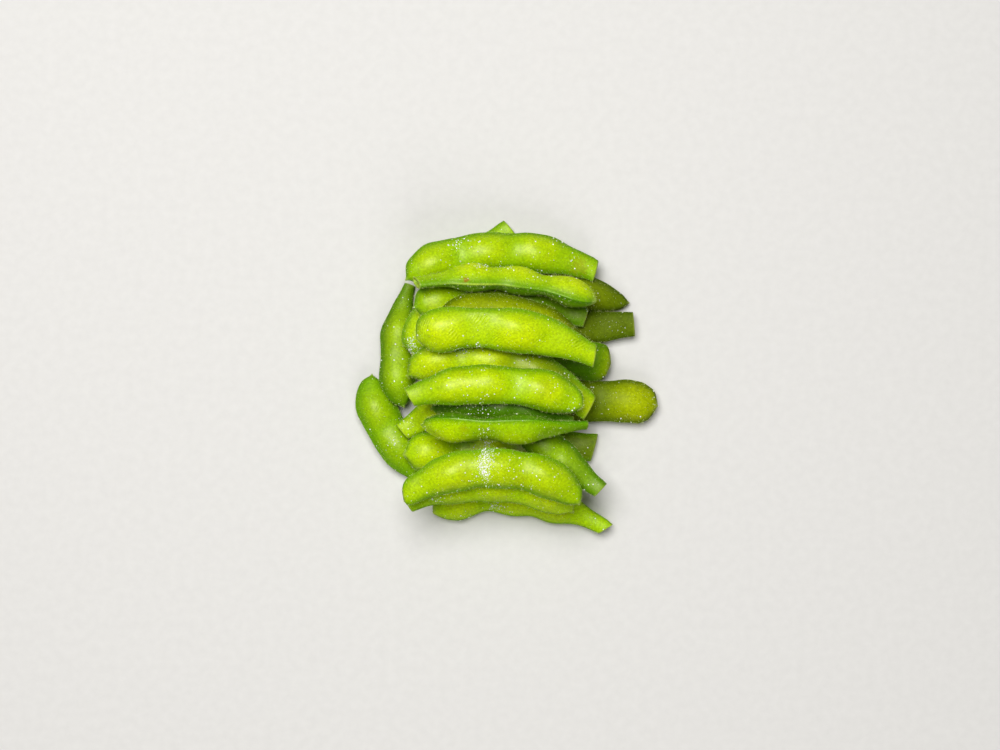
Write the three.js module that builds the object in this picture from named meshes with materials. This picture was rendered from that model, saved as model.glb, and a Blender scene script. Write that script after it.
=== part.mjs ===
// A bundle of boiled edamame (green soybean) pods, heaped lying down, most of them side by side.
// Millimetres, +Z up. The heap rests on the plane z = 0, with the origin under the middle of its box.
// Every pod is one solid: a flattened hull that swells over its beans, with a seam along both edges,
// a straight cut at the stem end and a small beak at the tip.
// The pods are listed from the surface up. Each is laid at its place in plan, lowered until it touches
// what is below it, and then tilted, rolled, bent and nudged a little until its weight lies lowest.
import * as THREE from "three";

// ---------------------------------------------------------------- a pod, in mm
const POD_WIDTH = 13; // seam to seam, over a bean
const POD_THICKNESS = 9.6; // face to face, over a bean
const HULL_THICKNESS = 4.6; // between two beans
const BEAN_LENGTH = 22; // of the swelling that a bean makes
const NECK_LENGTH = 19; // over which the hull narrows to the cut
const TIP_LENGTH = 11; // over which it rounds off at the other end
const BEAK_LENGTH = 2.4;
const BEAK_WIDTH = 2.2; // where the beak leaves the hull
const BEAK_ROOT = 0.6; // where the hull would end without its beak, as a share of the beak's length
const CUT_WIDTH = 0.58; // of the stem end, as a share of the pod's width
const CUT_THICKNESS = 0.85; // of the stem end, as a share of the hull's thickness
const WAIST = 0.13; // how much narrower a pod is where it holds no bean, as a share
const MARGIN = 0.12; // the flat edge outside a bean, as a share of the half width
const SLANT_LENGTH = 9; // over which a slanting cut squares up again

// ---------------------------------------------------------------- how a pod's surfaces round off, as powers
const BEAN_ROUNDING = 2; // along the pod
const DOME_ROUNDING = 0.75; // across a bean
const LENS_ROUNDING = 0.8; // across the hull
const TIP_ROUNDING = 2.2;

// ---------------------------------------------------------------- how the pods lie, in mm and degrees
const GAP = 0.15; // left under a pod, above what carries it
const PRESS = 0.3; // how far the surface presses into the pods that lie on it
const FOOT = 0.8; // what comes within this of the surface lies flat on it
const MOST_PITCH = 20; // either end up
const MOST_ARCH = 3; // how far a soft pod bends up or down between its ends
const ROLL_PLAY = 10; // how far it may roll from the way it was laid
const SLIDE_PLAY = 0.8; // how far it may slide from its place
const STRAIN = { slide: 0.6, roll: 0.3, bend: 0.3 }; // what the full play of each costs, in mm of height
const FIRST_STEP = 8; // of pitch and roll, in degrees, halved down to the last
const LAST_STEP = 0.5;
const ARCH_STEP = 1 / 8; // the other steps, in mm for each degree
const SLIDE_STEP = 1 / 10;
const LEAST_GAIN = 1e-4; // a move that lowers the pod by less than this isn't made

// ---------------------------------------------------------------- the mesh
const SIDES = 12;
const RINGS = 22;
const CELL = 0.4; // of the grid that holds the heap's height, in mm
const REACH = 75; // of that grid from the middle of the heap
const LEAST_AREA = 1e-6; // of a face in plan, twice over, in mm2
const SMALL_SHARE = 0.01; // of the length, either side of a ring, that gives the way it faces

const SKINS = { bright: 0x9cc81f, deep: 0x6f9a1c, olive: 0x8a9a20 };

// The pods, from the surface up.
// x, y: the middle of the straight line between the pod's ends. turn: the way from stem end to tip.
// roll: 0 lies on one face, bowed to the left of that way, and 180 on the other, bowed to the right.
// bow: how far the middle stands off that line. beans: shares of the length, from the stem end.
// slant: how far the cut is off square, in degrees, with its bowed side towards the stem.
const PODS = [
  { name: "pod_right_1", skin: "olive", x: 21.6, y: 32.9, turn: -20, roll: 180, length: 43, bow: 2,
    width: 12, tip: 20, beans: [0.36, 0.7] },
  { name: "pod_right_2", skin: "olive", x: 14.9, y: 15.9, turn: -175, roll: 180, length: 56, bow: 0,
    cut: 0.72, beans: [0.4, 0.62, 0.83] },
  { name: "pod_right_3", skin: "deep", x: 9.8, y: 4.4, turn: 2, roll: 0, length: 52, bow: 2,
    tip: 4, beans: [0.3, 0.56, 0.86] },
  { name: "pod_right_4", skin: "olive", x: 22.4, y: -11.4, turn: 2.5, roll: 0, length: 59.5, bow: 3,
    width: 14, waist: 0.06, tip: 7.5, beans: [0.24, 0.48, 0.81] },
  { name: "pod_left_1", skin: "bright", x: -35.4, y: -17, turn: 121, roll: 0, length: 44, bow: 6,
    waist: 0.06, beans: [0.4, 0.74] },
  { name: "pod_left_2", skin: "deep", x: -34.7, y: 10.4, turn: -92, roll: 180, length: 43, bow: 3.3,
    width: 12, cut: 0.36, beans: [0.4, 0.74] },
  { name: "pod_left_3", skin: "bright", x: -16.4, y: 29, turn: -126.7, roll: 180, length: 56.5, bow: 3.5,
    tip: 8, beans: [0.3, 0.55, 0.83] },
  { name: "pod_mid_1", skin: "bright", x: -3.7, y: -25.2, turn: -178, roll: 180, length: 66.5, bow: 1,
    tip: 8, cut: 0.82, slant: 14, beans: [0.3, 0.55, 0.86] },
  { name: "pod_front_1", skin: "bright", x: 3, y: -49.6, turn: 175.8, roll: 180, length: 60.5, bow: 8.5,
    width: 12.5, waist: 0.3, tip: 8, slant: 24, beans: [0.3, 0.53, 0.84] },
  { name: "pod_under", skin: "deep", x: 2, y: -35, turn: 0, roll: 0, length: 48, bow: 1,
    beans: [0.3, 0.55, 0.8] },
  { name: "pod_mid_2", skin: "bright", x: -17, y: -8.7, turn: 27, roll: 0, length: 43, bow: 1,
    slant: 7, beans: [0.36, 0.72] },
  { name: "pod_mid_3", skin: "deep", x: 16.5, y: -25.9, turn: 139.5, roll: 0, length: 39, bow: 0.6,
    width: 11.5, slant: -6, beans: [0.4, 0.74] },
  { name: "pod_mid_4", skin: "bright", x: -3.5, y: 21.6, turn: 177, roll: 180, length: 60, bow: 4,
    tip: 8, beans: [0.3, 0.55, 0.86] },
  { name: "pod_top_1", skin: "bright", x: -3, y: 33.4, turn: -176.5, roll: 180, length: 65.7, bow: 8.5,
    cut: 0.66, slant: -8, beans: [0.3, 0.56, 0.85] },
  { name: "pod_top_2", skin: "bright", x: -0.3, y: 28, turn: -6, roll: -80, length: 62, bow: 5,
    tip: 8, beans: [0.3, 0.55, 0.84] },
  { name: "pod_top_3", skin: "olive", x: 0.4, y: 14, turn: 170, roll: 180, length: 52.5, bow: 7,
    beans: [0.3, 0.55, 0.82] },
  { name: "pod_top_4", skin: "bright", x: -4, y: -5.7, turn: 170.7, roll: 180, length: 63.3, bow: 10.5,
    cut: 0.75, slant: -15, beans: [0.3, 0.57, 0.86] },
  { name: "pod_top_5", skin: "bright", x: -1.8, y: 10, turn: 175.2, roll: 180, length: 61, bow: 6.7,
    width: 14.5, tip: 7, slant: -21, beans: [0.44, 0.84] },
  { name: "pod_top_6", skin: "deep", x: -3, y: -12.8, turn: 175, roll: 130, length: 48, bow: 4,
    cut: 0.4, beans: [0.26, 0.5, 0.74] },
  { name: "pod_top_7", skin: "bright", x: -4, y: -9.2, turn: -4, roll: 0, length: 59, bow: 6,
    slant: 12, beans: [0.22, 0.42, 0.75] },
  { name: "pod_top_8", skin: "bright", x: -2, y: -15.2, turn: 180, roll: 118, length: 56, bow: 3,
    width: 15, waist: 0.12, cut: 0.34, beans: [0.4, 0.8] },
  { name: "pod_front_2", skin: "bright", x: -5.9, y: -44.3, turn: -4, roll: 0, length: 56.5, bow: 9.8,
    tip: 9, beans: [0.24, 0.5, 0.8] },
  { name: "pod_front_3", skin: "bright", x: -5.2, y: -41.4, turn: -4, roll: 0, length: 60, bow: 11.5,
    cut: 0.72, slant: -24, beans: [0.25, 0.5, 0.78] },
];

const USUAL_POD = { width: POD_WIDTH, waist: WAIST, tip: TIP_LENGTH, cut: CUT_WIDTH, slant: 0 };

const radians = THREE.MathUtils.degToRad;
const { smoothstep } = THREE.MathUtils;

/** Where the rings stand, as shares of the length: even at first, and closer towards the tip. */
function ringShares() {
  return Array.from({ length: RINGS }, (_, ring) => {
    const share = ring / RINGS;
    return (share + Math.sin((share * Math.PI) / 2)) / 2;
  });
}

/** How much a pod swells there over its beans, from 0 to 1. */
function swelling(pod, share) {
  const offsets = pod.beans.map((bean) => ((share - bean) * pod.length) / (BEAN_LENGTH / 2));
  const flat = offsets.map((offset) => 1 - Math.max(0, 1 - offset ** 2) ** BEAN_ROUNDING);
  return 1 - flat.reduce((product, rest) => product * rest);
}

/** The pod's outline there, from 0 to 1: narrow at the cut, full over the beans, round at the tip. */
function outline(pod, share) {
  const fromCut = share * pod.length;
  const neck = pod.cut + (1 - pod.cut) * smoothstep(fromCut, 0, NECK_LENGTH);
  const hullEnd = pod.length - BEAK_LENGTH * BEAK_ROOT;
  const intoTip = Math.max(0, (fromCut - hullEnd + pod.tip) / pod.tip);
  return neck * Math.sqrt(Math.max(0, 1 - intoTip ** TIP_ROUNDING));
}

/** The pod's half width there, and the half thicknesses of its hull and of what a bean adds. */
function sizesAt(pod, share) {
  const full = outline(pod, share);
  const bean = swelling(pod, share);
  const neck = CUT_THICKNESS + (1 - CUT_THICKNESS) * smoothstep(share * pod.length, 0, NECK_LENGTH);
  const beak = (Math.min(((1 - share) * pod.length) / BEAK_LENGTH, 1) * BEAK_WIDTH) / 2;
  return {
    halfWidth: Math.max((full * pod.width * (1 - pod.waist * (1 - bean))) / 2, beak),
    hull: Math.max((Math.sqrt(full) * neck * HULL_THICKNESS) / 2, beak),
    swell: (bean * full * (POD_THICKNESS - HULL_THICKNESS)) / 2,
  };
}

/** The pod's middle line: bowed towards +y, more sharply at the cut, and arched towards +z. */
function spineAt(pod, share) {
  const along = 2 * share - 1;
  const drop = along < 0 ? along ** 2 : along ** 3;
  return new THREE.Vector3((along * pod.length) / 2, pod.bow * (1 - drop), pod.arch * (1 - along ** 2));
}

/** One point of a ring: a lens for the hull, with a dome over the bean between its flat margins. */
function sectionPoint(angle, { halfWidth, hull, swell }) {
  const across = Math.cos(angle);
  const lens = hull * Math.abs(Math.sin(angle)) ** LENS_ROUNDING;
  const dome = swell * Math.max(0, 1 - (across / (1 - MARGIN)) ** 2) ** DOME_ROUNDING;
  return [across * halfWidth, Math.sign(Math.sin(angle)) * (lens + dome)];
}

/** The points of a pod's surface in its own frame: rings from the cut to the tip, with one at either end. */
function podPoints(pod) {
  const points = [spineAt(pod, 0)];
  for (const share of ringShares()) {
    const centre = spineAt(pod, share);
    const ahead = spineAt(pod, share + SMALL_SHARE).sub(spineAt(pod, share - SMALL_SHARE)).normalize();
    const across = new THREE.Vector3(-ahead.y, ahead.x, 0).normalize();
    const up = new THREE.Vector3().crossVectors(ahead, across);
    const sizes = sizesAt(pod, share);
    const lean = Math.tan(radians(pod.slant)) * (1 - smoothstep(share * pod.length, 0, SLANT_LENGTH));
    for (let side = 0; side < SIDES; side += 1) {
      const [y, z] = sectionPoint((side / SIDES) * 2 * Math.PI, sizes);
      const point = centre.clone().addScaledVector(across, y).addScaledVector(up, z);
      points.push(point.addScaledVector(ahead, -lean * y));
    }
  }
  points.push(spineAt(pod, 1));
  return points;
}

/** The triangles of every pod: a fan at the cut, bands between the rings, and a fan at the beak. */
function podFaces() {
  const faces = [];
  const last = 1 + RINGS * SIDES;
  for (let side = 0; side < SIDES; side += 1) {
    const next = (side + 1) % SIDES;
    faces.push(0, 1 + next, 1 + side);
    for (let ring = 0; ring < RINGS - 1; ring += 1) {
      const [a, b] = [1 + ring * SIDES + side, 1 + ring * SIDES + next];
      faces.push(a, b, a + SIDES, b, b + SIDES, a + SIDES);
    }
    faces.push(last - SIDES + side, last - SIDES + next, last);
  }
  return faces;
}

const POD_FACES = podFaces();

/** The heap's height over a grid in plan, at first the flat surface, which presses into the pods. */
class Heap {
  constructor() {
    this.across = Math.ceil((2 * REACH) / CELL);
    this.top = new Float32Array(this.across ** 2).fill(-PRESS - GAP);
  }

  /** Calls visit(cell, height) for every cell under the faces that look up (facing 1) or down (-1). */
  scan(points, facing, visit) {
    for (let i = 0; i < POD_FACES.length; i += 3) {
      const [a, b, c] = POD_FACES.slice(i, i + 3).map((corner) => points[corner]);
      const area = (b.x - a.x) * (c.y - a.y) - (c.x - a.x) * (b.y - a.y);
      if (area * facing < LEAST_AREA) continue;
      const columns = this.cellsBetween(Math.min(a.x, b.x, c.x), Math.max(a.x, b.x, c.x));
      const rows = this.cellsBetween(Math.min(a.y, b.y, c.y), Math.max(a.y, b.y, c.y));
      for (let row = rows.first; row <= rows.last; row += 1)
        for (let column = columns.first; column <= columns.last; column += 1) {
          const [x, y] = [column * CELL - REACH, row * CELL - REACH];
          const u = ((b.x - x) * (c.y - y) - (c.x - x) * (b.y - y)) / area;
          const v = ((c.x - x) * (a.y - y) - (a.x - x) * (c.y - y)) / area;
          if (u < 0 || v < 0 || u + v > 1) continue;
          visit(row * this.across + column, u * a.z + v * b.z + (1 - u - v) * c.z);
        }
    }
  }

  /** The rows or columns of the grid that lie between two places. */
  cellsBetween(low, high) {
    return { first: Math.ceil((low + REACH) / CELL), last: Math.floor((high + REACH) / CELL) };
  }

  /** How far up a pod has to go to clear the heap. */
  clearance(points) {
    let lift = -Infinity;
    this.scan(points, -1, (cell, height) => {
      lift = Math.max(lift, this.top[cell] + GAP - height);
    });
    return lift;
  }

  /** Puts a pod on the heap, one cell wider all round. */
  add(points) {
    this.scan(points, 1, (cell, height) => {
      for (const row of [-this.across, 0, this.across])
        for (const near of [cell + row - 1, cell + row, cell + row + 1])
          this.top[near] = Math.max(this.top[near], height);
    });
  }
}

/** The pod laid on the heap in that pose, with what the pose costs: its weight's height, and strain. */
function laid(pod, heap, pose) {
  const turned = new THREE.Euler(radians(pose.roll), radians(-pose.pitch), radians(pod.turn), "ZYX");
  const matrix = new THREE.Matrix4().makeRotationFromEuler(turned);
  matrix.setPosition(pod.x + pose.slideX, pod.y + pose.slideY, 0);
  const points = podPoints({ ...pod, arch: pose.arch }).map((point) => point.applyMatrix4(matrix));
  const lift = heap.clearance(points);
  const middle = points.reduce((sum, point) => sum + point.z, 0) / points.length;
  const strain =
    STRAIN.slide * (Math.hypot(pose.slideX, pose.slideY) / SLIDE_PLAY) ** 2 +
    STRAIN.roll * ((pose.roll - pod.roll) / ROLL_PLAY) ** 2 +
    STRAIN.bend * (pose.arch / MOST_ARCH) ** 2;
  return { cost: lift + middle + strain, lift, matrix, points, pose };
}

/** Whether a pod may lie so. */
function allowed(pod, { pitch, roll, slideX, slideY, arch }) {
  const leans = Math.abs(pitch) <= MOST_PITCH && Math.abs(roll - pod.roll) <= ROLL_PLAY;
  return leans && Math.hypot(slideX, slideY) <= SLIDE_PLAY && Math.abs(arch) <= MOST_ARCH;
}

/** Lowers a pod onto the heap and moves it, in ever smaller steps, to where its weight lies lowest. */
function settled(pod, heap) {
  let best = laid(pod, heap, { pitch: 0, roll: pod.roll, slideX: 0, slideY: 0, arch: 0 });
  for (let step = FIRST_STEP; step >= LAST_STEP; step /= 2) {
    const slide = step * SLIDE_STEP;
    const steps = { pitch: step, roll: step, arch: step * ARCH_STEP, slideX: slide, slideY: slide };
    const moves = Object.entries(steps).flatMap(([key, size]) => [[key, size], [key, -size]]);
    let moved = true;
    while (moved) {
      moved = false;
      for (const [key, size] of moves) {
        const pose = { ...best.pose, [key]: best.pose[key] + size };
        if (!allowed(pod, pose)) continue;
        const found = laid(pod, heap, pose);
        if (found.cost > best.cost - LEAST_GAIN) continue;
        best = found;
        moved = true;
      }
    }
  }
  return best;
}

/** A pod's mesh where it comes to rest, flattened where it lies on the surface, and added to the heap. */
function podOn(heap, pod) {
  const { lift, matrix, points } = settled(pod, heap);
  for (const point of points) {
    point.z += lift;
    if (point.z < FOOT) point.z = 0;
  }
  heap.add(points);

  matrix.premultiply(new THREE.Matrix4().makeTranslation(0, 0, lift));
  const back = matrix.clone().invert();
  const geometry = new THREE.BufferGeometry().setFromPoints(points.map((point) => point.applyMatrix4(back)));
  geometry.setIndex(POD_FACES);
  geometry.computeVertexNormals();
  const skin = new THREE.MeshStandardMaterial({ color: SKINS[pod.skin], roughness: 0.45, metalness: 0 });
  const mesh = new THREE.Mesh(geometry, skin);
  mesh.name = pod.name;
  mesh.applyMatrix4(matrix);
  return mesh;
}

/** The whole heap, moved so that the origin is under the middle of its box. */
function bundle() {
  const heap = new Heap();
  const group = new THREE.Group();
  for (const pod of PODS) group.add(podOn(heap, { ...USUAL_POD, ...pod }));
  const middle = new THREE.Box3().setFromObject(group, true).getCenter(new THREE.Vector3());
  group.position.set(-middle.x, -middle.y, 0);
  return group;
}

export default bundle();
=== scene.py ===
"""A heap of boiled, salted edamame pods lying on a pale floor.

Each pod's solid in the frame is replaced by a finer skin, drawn through the solid's own rings and
finished with its seams, wrinkles, hollow cut end and colours. Salt and down are laid over the skins.
"""

import logging
import math
from dataclasses import dataclass, field
from enum import Enum
from typing import Any

import bmesh
import bpy
import numpy as np
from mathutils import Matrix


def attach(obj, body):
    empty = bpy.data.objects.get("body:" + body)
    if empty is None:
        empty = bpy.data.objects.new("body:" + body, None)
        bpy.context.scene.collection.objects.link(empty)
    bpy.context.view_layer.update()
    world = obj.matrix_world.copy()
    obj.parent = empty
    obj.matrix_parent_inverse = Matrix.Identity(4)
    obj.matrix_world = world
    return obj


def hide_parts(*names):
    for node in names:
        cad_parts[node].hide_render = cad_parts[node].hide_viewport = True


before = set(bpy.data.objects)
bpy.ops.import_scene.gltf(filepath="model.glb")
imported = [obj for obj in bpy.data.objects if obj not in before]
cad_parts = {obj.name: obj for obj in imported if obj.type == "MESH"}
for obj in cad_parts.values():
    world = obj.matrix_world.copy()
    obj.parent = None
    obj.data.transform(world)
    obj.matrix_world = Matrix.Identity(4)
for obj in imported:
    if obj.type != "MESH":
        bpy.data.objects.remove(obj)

Thing = bpy.types.Object
Tree = bpy.types.NodeTree
Node = bpy.types.Node
Socket = bpy.types.NodeSocket

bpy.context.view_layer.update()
BODY = "root"
MM = 0.001
CM2 = 1e-4  # a square cm, in square metres
SIDES = 12  # of a pod's solid, round its middle line
HALF = SIDES // 2
WELD = 0.01 * MM
TINY = 1e-9  # keeps a division from a zero
NOISE_RANGE = (0.3, 0.7)  # where most of a noise's values lie
# What a pod's finish reads at each point, beside its patterns.
LOOKS = ("bean", "side", "shade", "green", "edge", "warm", "dull", "dry", "creased", "spot", "matt")
WAVE_BANDS = 20  # that the wave texture draws in a length of tau at scale 1
RIPPLE_WAVES = 20
RIPPLE_LENGTHS = (0.75, 1.5)  # of its waves, as shares of its size
# Added to a pod's seed, so that no two of its ripples are alike.
WAVER, FAINT, RAGGED, CREASE = 100, 200, 300, 400
# The opening in a pod's cut end, from deep inside outwards. Each row's depth is a share of the hollow's and
# its size a share of the inside of the wall.
DEEPEST = 0.95
HOLLOW_ROWS = ((0.85, 0.35), (0.6, 0.7), (0.3, 0.92), (0.08, 1.0))
# Over the wall's cut edge: each row's share of the way out, and how far in it lies, in mm.
LIP_ROWS = ((0.12, 0.12), (0.5, -0.05), (0.9, 0.02))

log = logging.getLogger("edamame")


# ---- helpers


def linear(colour: str) -> tuple[float, float, float, float]:
    """Turns an sRGB colour to linear light.

    Args:
        colour: the sRGB colour, such as #9BD016.

    Returns:
        Red, green and blue, and a full alpha.
    """
    shares = [int(colour[start:start + 2], 16) / 255 for start in (1, 3, 5)]
    light = [share / 12.92 if share <= 0.04045 else ((share + 0.055) / 1.055) ** 2.4 for share in shares]
    return (*light, 1.0)


def feed(node: Node, inputs: dict[Any, Any]) -> None:
    """Gives a node's sockets their values and links.

    Args:
        node: the node.
        inputs: for each of its sockets, by name or number, a value, or the socket or the node that feeds
            it. A node feeds it by its first output in use.
    """
    for name, value in inputs.items():
        if isinstance(value, Node):
            value = next(output for output in value.outputs if output.enabled)
        if isinstance(value, Socket):
            node.id_data.links.new(value, node.inputs[name])
        else:
            node.inputs[name].default_value = value


def wire(tree: Tree, kind: str, inputs: dict[Any, Any] | None = None, **settings: Any) -> Node:
    """Adds a node to a tree.

    Args:
        tree: the material's or the modifier's tree.
        kind: the node's type name.
        inputs: what its sockets get, as in feed.
        settings: the node's own properties.

    Returns:
        The node.
    """
    node = tree.nodes.new(kind)
    for name, value in settings.items():
        setattr(node, name, value)
    feed(node, inputs or {})
    return node


def smooth(low: float, high: float, value: np.ndarray) -> np.ndarray:
    """Rises smoothly from 0 at low to 1 at high."""
    share = np.clip((value - low) / (high - low), 0, 1)
    return share * share * (3 - 2 * share)


def basis(at: np.ndarray, points: int, closed: bool) -> np.ndarray:
    """Weights of a uniform cubic spline's controls.

    Args:
        at: the places wanted, numbered as the points are.
        points: how many points the spline has.
        closed: whether it comes back to its first point.

    Returns:
        For each place, the share of each control in it.
    """
    cell = np.floor(at).astype(int)
    if not closed:
        cell = np.minimum(cell, points - 2)
    into = at - cell
    shares = (
        (1 - into) ** 3,
        3 * into**3 - 6 * into**2 + 4,
        -3 * into**3 + 3 * into**2 + 3 * into + 1,
        into**3,
    )
    weights = np.zeros((len(at), points if closed else points + 2))
    for step, share in enumerate(shares):
        column = (cell + step - 1) % points if closed else cell + step
        weights[np.arange(len(at)), column] += share / 6
    return weights


def spline(at: np.ndarray, points: int, closed: bool) -> np.ndarray:
    """Weights that draw one smooth line through numbered points.

    Args:
        at: the places wanted on the line, numbered as its points are.
        points: how many points the line goes through.
        closed: whether it comes back to its first point.

    Returns:
        For each place, the share of each point in it.
    """
    hold = basis(np.arange(points, dtype=float), points, closed)
    if closed:
        return basis(at, points, closed) @ np.linalg.inv(hold)
    straight = np.zeros((2, points + 2))
    straight[0, :3] = straight[1, -3:] = (1, -2, 1)
    hold = np.vstack([straight[:1], hold, straight[1:]])
    return basis(at, points, closed) @ np.linalg.inv(hold)[:, 1:-1]


def ripple(points: np.ndarray, size: float, seed: int) -> np.ndarray:
    """Smooth seeded noise over points in mm, mostly between -1 and 1.

    Args:
        points: places, with x, y and z in the last axis.
        size: the usual distance between two crests, in mm.
        seed: gives the same noise each time.

    Returns:
        The noise at each place.
    """
    random = np.random.default_rng(seed)
    waves = random.normal(size=(RIPPLE_WAVES, 3))
    lengths = size * random.uniform(*RIPPLE_LENGTHS, (RIPPLE_WAVES, 1))
    waves *= math.tau / lengths / np.linalg.norm(waves, axis=1, keepdims=True)
    phases = random.uniform(0, math.tau, RIPPLE_WAVES)
    return np.cos(points @ waves.T + phases).sum(-1) / math.sqrt(RIPPLE_WAVES)


def fading(distance: np.ndarray, reach: float) -> np.ndarray:
    """Falls from 1 at no distance to about a third at the reach."""
    return np.exp(-((distance / reach) ** 2))


def painted(share: np.ndarray, stops: tuple[float, ...]) -> np.ndarray:
    """Values spread evenly from a pod's cut end to its tip, at a share of that way."""
    return np.interp(share, np.linspace(0, 1, len(stops)), stops)


def added(name: str, data: bpy.types.ID) -> Thing:
    """Adds an object to the scene.

    Args:
        name: of the object.
        data: its mesh, light or camera.

    Returns:
        The object.
    """
    thing = bpy.data.objects.new(name, data)
    bpy.context.scene.collection.objects.link(thing)
    return thing


def mark(mesh: bpy.types.Mesh, name: str, values: np.ndarray) -> None:
    """Writes a value for each point of a mesh, as an attribute of that name."""
    mesh.attributes.new(name, "FLOAT", "POINT").data.foreach_set("value", values.astype(np.float32))


# ---- finishes


@dataclass(frozen=True)
class SkinFinish:
    """Boiled soybean pod skin: thin, taut over the beans, satin with a film of brine, and finely downy.

    Light goes a little way into it, so that the shaded sides stay green. Its colour is yellower where
    a bean swells it and deeper where it lies flat, and fine oblique veins run across it. Lengths are in mm.
    """

    name: str
    slot: str
    bean: str  # colour over the beans
    flat: str  # colour between them and towards the ends
    side: str  # colour beside the seams: partly the skin's own deeper green, partly painted shade at the pod's edges
    edge: str  # colour of the seams themselves
    rough: float = 0.37
    wetter: float = 0.07  # taken from the roughness where it is wettest
    drier: float = 0.09  # and added where it is driest
    shine: float = 0.42  # strength of its highlights
    warm: str = "#D6E202"  # colour where the pod has yellowed
    dull: str = "#5F7206"  # colour where it has gone olive
    shade: str = "#4C8403"  # colour of painted shade on a face that lies in shadow
    dry: str = "#CDDA6E"  # colour at the cut and at the tip
    fleck: str = "#9C7208"  # colour of its blemishes
    glint: str = "#FFF6CE"  # tint of its highlights
    bloom: str = "#D6EA60"  # colour of the faint light that the finest down gives back
    bloom_strength: float = 0.03
    bloom_rough: float = 0.5
    blotch: float = 7.0  # size of the broad changes of colour over the beans
    blotch_least: float = 0.55  # share of the beans' colour that they leave
    patch: float = 2.6  # size of the greener patches
    patch_range: tuple[float, float] = (0.5, 0.75)  # of the noise, over which they rise
    patch_strength: float = 0.25
    mottle: float = 0.7  # size of the fine changes from light to dark
    mottle_range: tuple[float, float] = (0.78, 1.16)  # the darkest and the lightest of them
    pore: float = 0.6  # usual distance between two pores
    pore_range: tuple[float, float] = (0.12, 0.3)  # from its middle, over which a pore's colour fades
    pore_strength: float = 0.25
    damp: float = 4.0  # size of the wetter and drier patches
    vein: float = 0.9  # usual distance between two veins
    vein_depth: float = 0.12
    vein_slant: float = 38.0  # degrees off the pod's length
    vein_waver: float = 8.0  # how far the veins stray
    grain: float = 0.5  # size of the finest relief
    grain_depth: float = 0.1
    grain_strength: float = 0.5
    glow: float = 0.22  # share of the light that goes into it
    depth: float = 1.2  # how far it goes
    passed: tuple[float, float, float] = (0.9, 1.0, 0.12)  # shares of that for red, green and blue

    def material(self) -> bpy.types.Material:
        """Builds the skin's material.

        Returns:
            The material, which reads the looks that a pod writes into its mesh.
        """
        made = bpy.data.materials.new(self.name)
        made.use_nodes = True
        tree = made.node_tree
        place = wire(tree, "ShaderNodeTexCoord").outputs["Object"]
        given = {"pore": wire(tree, "ShaderNodeTexVoronoi", {"Vector": place, "Scale": 1 / (self.pore * MM)})}
        for name, size, detail in (
            ("blotch", self.blotch, 2), ("patch", self.patch, 3), ("mottle", self.mottle, 3),
            ("damp", self.damp, 3), ("grain", self.grain, 3),
        ):
            inputs = {"Vector": place, "Scale": 1 / (size * MM), "Detail": detail}
            given[name] = wire(tree, "ShaderNodeTexNoise", inputs)
        for name in LOOKS:
            given[name] = wire(tree, "ShaderNodeAttribute", attribute_name=name).outputs["Fac"]
        limits = {3: self.rough - self.wetter, 4: self.rough + self.drier}
        damp = wire(tree, "ShaderNodeMapRange", {"Value": given["damp"], **limits})
        feed(tree.nodes["Principled BSDF"], {
            "Base Color": self._colour(tree, given),
            "Normal": self._relief(tree, given),
            "Roughness": wire(tree, "ShaderNodeMath", {0: damp, 1: given["matt"]}, operation="ADD"),
            "Specular IOR Level": self.shine,
            "Specular Tint": linear(self.glint),
            "Subsurface Weight": self.glow,
            "Subsurface Radius": self.passed,
            "Subsurface Scale": self.depth * MM,
            "Sheen Weight": self.bloom_strength,
            "Sheen Roughness": self.bloom_rough,
            "Sheen Tint": linear(self.bloom),
        })
        return made

    def _colour(self, tree: Tree, given: dict[str, Any]) -> Node:
        """Builds the skin's colour, in layers.

        Args:
            tree: the material's tree.
            given: the patterns and the looks, by name.

        Returns:
            The node that gives the colour.
        """
        blotches, greener, speckle, dots = (
            wire(tree, "ShaderNodeMapRange", {"Value": given[name], 1: low, 2: high, 3: first, 4: last})
            for name, (low, high), (first, last) in (
                ("blotch", NOISE_RANGE, (self.blotch_least, 1)),
                ("patch", self.patch_range, (0, self.patch_strength)),
                ("mottle", NOISE_RANGE, self.mottle_range),
                ("pore", self.pore_range, (self.pore_strength, 0)),
            )
        )
        swell = wire(tree, "ShaderNodeMath", {0: given["bean"], 1: blotches}, operation="MULTIPLY")
        colour = linear(self.flat)
        # The side layer is partly painted shade at the pod's edges, and the shade layer is painted shade on a
        # face.
        for share, over in (
            (swell, self.bean), (given["warm"], self.warm), (given["dull"], self.dull),
            (given["green"], self.side), (given["side"], self.side), (given["shade"], self.shade),
            (given["edge"], self.edge), (greener, self.side), (1.0, speckle), (dots, self.side),
            (given["dry"], self.dry), (given["spot"], self.fleck),
        ):
            plain = isinstance(over, str)
            colour = wire(
                tree, "ShaderNodeMix", {0: share, 6: colour, 7: linear(over) if plain else over},
                data_type="RGBA", blend_type="MIX" if plain else "MULTIPLY",
            )
        return colour

    def _relief(self, tree: Tree, given: dict[str, Any]) -> Node:
        """Builds the skin's fine veins and grain.

        Args:
            tree: the material's tree.
            given: the patterns and the looks, by name.

        Returns:
            The node that gives the normal.
        """
        along = wire(tree, "ShaderNodeUVMap", uv_map="skin")
        turn = (0, 0, math.radians(self.vein_slant))
        slant = wire(tree, "ShaderNodeMapping", {"Vector": along, "Rotation": turn})
        veins = wire(
            tree, "ShaderNodeTexWave",
            {"Vector": slant, "Scale": math.tau / (WAVE_BANDS * self.vein * MM),
             "Distortion": self.vein_waver, "Detail": 2, "Detail Scale": 0.6},
        )
        low = wire(
            tree, "ShaderNodeBump",
            {"Height": veins.outputs["Fac"], "Strength": given["creased"],
             "Distance": self.vein_depth * MM},
        )
        return wire(
            tree, "ShaderNodeBump",
            {"Height": given["grain"], "Strength": self.grain_strength,
             "Distance": self.grain_depth * MM, "Normal": low},
        )


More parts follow.
